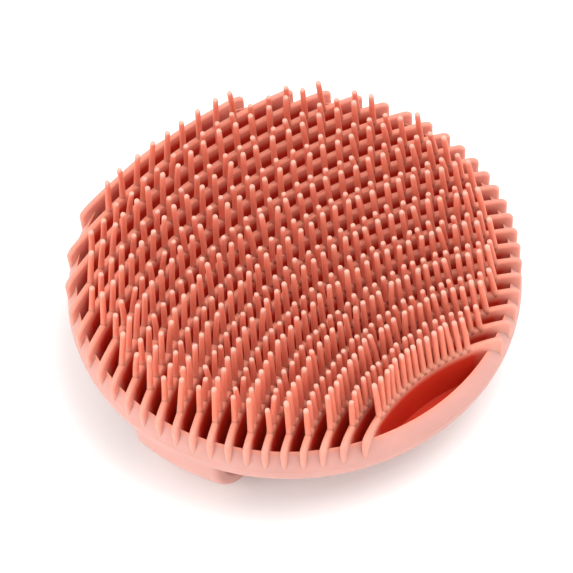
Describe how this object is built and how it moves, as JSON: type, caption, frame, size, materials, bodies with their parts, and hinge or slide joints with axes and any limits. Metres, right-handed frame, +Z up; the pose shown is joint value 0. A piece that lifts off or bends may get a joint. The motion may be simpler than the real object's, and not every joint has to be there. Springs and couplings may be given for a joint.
{
  "type": "facial cleansing brush",
  "caption": "Hand-held silicone face brush: a round dish crossed by curved ridges that carry rows of long and short bristles, with a finger strap across the back.",
  "frame": {"origin": "middle of the strap's outer face, on the surface the brush lies on, under the dish's axis", "axes": "+Z up through the bristles, +X along the strap, +Y across it"},
  "size_m": [0.0906, 0.09, 0.0343],
  "materials": {
    "dish_silicone": "translucent coral silicone, satin",
    "ridge_silicone": "translucent coral silicone, satin",
    "bristle_silicone": "translucent coral silicone, satin, paler at the tips",
    "strap_silicone": "translucent coral silicone, satin"
  },
  "bodies": {
    "dish": {"dish": "dish_silicone", "ridge_01": "ridge_silicone", "ridge_02": "ridge_silicone", "ridge_03": "ridge_silicone", "ridge_04": "ridge_silicone", "ridge_05": "ridge_silicone", "ridge_06": "ridge_silicone", "ridge_07": "ridge_silicone", "ridge_08": "ridge_silicone", "ridge_09": "ridge_silicone", "ridge_10": "ridge_silicone", "ridge_11": "ridge_silicone", "ridge_12": "ridge_silicone", "ridge_13": "ridge_silicone", "ridge_14": "ridge_silicone", "ridge_15": "ridge_silicone", "ridge_16": "ridge_silicone", "ridge_17": "ridge_silicone", "ridge_18": "ridge_silicone", "ridge_19": "ridge_silicone", "ridge_20": "ridge_silicone", "ridge_21": "ridge_silicone", "ridge_22": "ridge_silicone", "strap_leg_left": "strap_silicone", "strap_leg_right": "strap_silicone"},
    "strap": {"strap_band": "strap_silicone"},
    "bristle_row_01": {"bristle_row_01": "bristle_silicone"},
    "bristle_row_02": {"bristle_row_02": "bristle_silicone"},
    "bristle_row_03": {"bristle_row_03": "bristle_silicone"},
    "bristle_row_04": {"bristle_row_04": "bristle_silicone"},
    "bristle_row_05": {"bristle_row_05": "bristle_silicone"},
    "bristle_row_06": {"bristle_row_06": "bristle_silicone"},
    "bristle_row_07": {"bristle_row_07": "bristle_silicone"},
    "bristle_row_08": {"bristle_row_08": "bristle_silicone"},
    "bristle_row_09": {"bristle_row_09": "bristle_silicone"},
    "bristle_row_10": {"bristle_row_10": "bristle_silicone"},
    "bristle_row_11": {"bristle_row_11": "bristle_silicone"},
    "bristle_row_12": {"bristle_row_12": "bristle_silicone"},
    "bristle_row_13": {"bristle_row_13": "bristle_silicone"},
    "bristle_row_14": {"bristle_row_14": "bristle_silicone"},
    "bristle_row_15": {"bristle_row_15": "bristle_silicone"},
    "bristle_row_16": {"bristle_row_16": "bristle_silicone"},
    "bristle_row_17": {"bristle_row_17": "bristle_silicone"},
    "bristle_row_18": {"bristle_row_18": "bristle_silicone"},
    "bristle_row_19": {"bristle_row_19": "bristle_silicone"},
    "bristle_row_20": {"bristle_row_20": "bristle_silicone"},
    "bristle_row_21": {"bristle_row_21": "bristle_silicone"}
  },
  "joints": [
    {"name": "strap_stretch", "type": "slide", "parent": "dish", "child": "strap", "axis": [0, 0, -1], "range_m": [0, 0.008], "stiffness_N_per_m": 300, "deforming": ["strap_leg_left", "strap_leg_right"]},
    {"name": "bristle_row_01_sway", "type": "hinge", "parent": "dish", "child": "bristle_row_01", "pos_m": [-0.01834, -0.07195, 0.02485], "axis": [0, 0, 1], "range_deg": [-3.78, 3.78], "stiffness_Nm_per_rad": 0.0122},
    {"name": "bristle_row_02_sway", "type": "hinge", "parent": "dish", "child": "bristle_row_02", "pos_m": [-0.01834, -0.07195, 0.02485], "axis": [0, 0, 1], "range_deg": [-3.45, 3.45], "stiffness_Nm_per_rad": 0.0483},
    {"name": "bristle_row_03_sway", "type": "hinge", "parent": "dish", "child": "bristle_row_03", "pos_m": [-0.01834, -0.07195, 0.02485], "axis": [0, 0, 1], "range_deg": [-3.17, 3.17], "stiffness_Nm_per_rad": 0.0268},
    {"name": "bristle_row_04_sway", "type": "hinge", "parent": "dish", "child": "bristle_row_04", "pos_m": [-0.01834, -0.07195, 0.02485], "axis": [0, 0, 1], "range_deg": [-2.93, 2.93], "stiffness_Nm_per_rad": 0.0872},
    {"name": "bristle_row_05_sway", "type": "hinge", "parent": "dish", "child": "bristle_row_05", "pos_m": [-0.01834, -0.07195, 0.02485], "axis": [0, 0, 1], "range_deg": [-2.72, 2.72], "stiffness_Nm_per_rad": 0.0427},
    {"name": "bristle_row_06_sway", "type": "hinge", "parent": "dish", "child": "bristle_row_06", "pos_m": [-0.01834, -0.07195, 0.02485], "axis": [0, 0, 1], "range_deg": [-2.54, 2.54], "stiffness_Nm_per_rad": 0.1245},
    {"name": "bristle_row_07_sway", "type": "hinge", "parent": "dish", "child": "bristle_row_07", "pos_m": [-0.01834, -0.07195, 0.02485], "axis": [0, 0, 1], "range_deg": [-2.39, 2.39], "stiffness_Nm_per_rad": 0.0596},
    {"name": "bristle_row_08_sway", "type": "hinge", "parent": "dish", "child": "bristle_row_08", "pos_m": [-0.01834, -0.07195, 0.02485], "axis": [0, 0, 1], "range_deg": [-2.25, 2.25], "stiffness_Nm_per_rad": 0.1593},
    {"name": "bristle_row_09_sway", "type": "hinge", "parent": "dish", "child": "bristle_row_09", "pos_m": [-0.01834, -0.07195, 0.02485], "axis": [0, 0, 1], "range_deg": [-2.12, 2.12], "stiffness_Nm_per_rad": 0.0752},
    {"name": "bristle_row_10_sway", "type": "hinge", "parent": "dish", "child": "bristle_row_10", "pos_m": [-0.01834, -0.07195, 0.02485], "axis": [0, 0, 1], "range_deg": [-2.01, 2.01], "stiffness_Nm_per_rad": 0.1984},
    {"name": "bristle_row_11_sway", "type": "hinge", "parent": "dish", "child": "bristle_row_11", "pos_m": [-0.01834, -0.07195, 0.02485], "axis": [0, 0, 1], "range_deg": [-1.91, 1.91], "stiffness_Nm_per_rad": 0.0926},
    {"name": "bristle_row_12_sway", "type": "hinge", "parent": "dish", "child": "bristle_row_12", "pos_m": [-0.01834, -0.07195, 0.02485], "axis": [0, 0, 1], "range_deg": [-1.82, 1.82], "stiffness_Nm_per_rad": 0.2419},
    {"name": "bristle_row_13_sway", "type": "hinge", "parent": "dish", "child": "bristle_row_13", "pos_m": [-0.01834, -0.07195, 0.02485], "axis": [0, 0, 1], "range_deg": [-1.74, 1.74], "stiffness_Nm_per_rad": 0.1041},
    {"name": "bristle_row_14_sway", "type": "hinge", "parent": "dish", "child": "bristle_row_14", "pos_m": [-0.01834, -0.07195, 0.02485], "axis": [0, 0, 1], "range_deg": [-1.67, 1.67], "stiffness_Nm_per_rad": 0.2689},
    {"name": "bristle_row_15_sway", "type": "hinge", "parent": "dish", "child": "bristle_row_15", "pos_m": [-0.01834, -0.07195, 0.02485], "axis": [0, 0, 1], "range_deg": [-1.6, 1.6], "stiffness_Nm_per_rad": 0.1145},
    {"name": "bristle_row_16_sway", "type": "hinge", "parent": "dish", "child": "bristle_row_16", "pos_m": [-0.01834, -0.07195, 0.02485], "axis": [0, 0, 1], "range_deg": [-1.53, 1.53], "stiffness_Nm_per_rad": 0.2684},
    {"name": "bristle_row_17_sway", "type": "hinge", "parent": "dish", "child": "bristle_row_17", "pos_m": [-0.01834, -0.07195, 0.02485], "axis": [0, 0, 1], "range_deg": [-1.48, 1.48], "stiffness_Nm_per_rad": 0.1127},
    {"name": "bristle_row_18_sway", "type": "hinge", "parent": "dish", "child": "bristle_row_18", "pos_m": [-0.01834, -0.07195, 0.02485], "axis": [0, 0, 1], "range_deg": [-1.42, 1.42], "stiffness_Nm_per_rad": 0.2842},
    {"name": "bristle_row_19_sway", "type": "hinge", "parent": "dish", "child": "bristle_row_19", "pos_m": [-0.01834, -0.07195, 0.02485], "axis": [0, 0, 1], "range_deg": [-1.37, 1.37], "stiffness_Nm_per_rad": 0.1057},
    {"name": "bristle_row_20_sway", "type": "hinge", "parent": "dish", "child": "bristle_row_20", "pos_m": [-0.01834, -0.07195, 0.02485], "axis": [0, 0, 1], "range_deg": [-1.32, 1.32], "stiffness_Nm_per_rad": 0.2292},
    {"name": "bristle_row_21_sway", "type": "hinge", "parent": "dish", "child": "bristle_row_21", "pos_m": [-0.01834, -0.07195, 0.02485], "axis": [0, 0, 1], "range_deg": [-1.28, 1.28], "stiffness_Nm_per_rad": 0.0642}
  ]
}
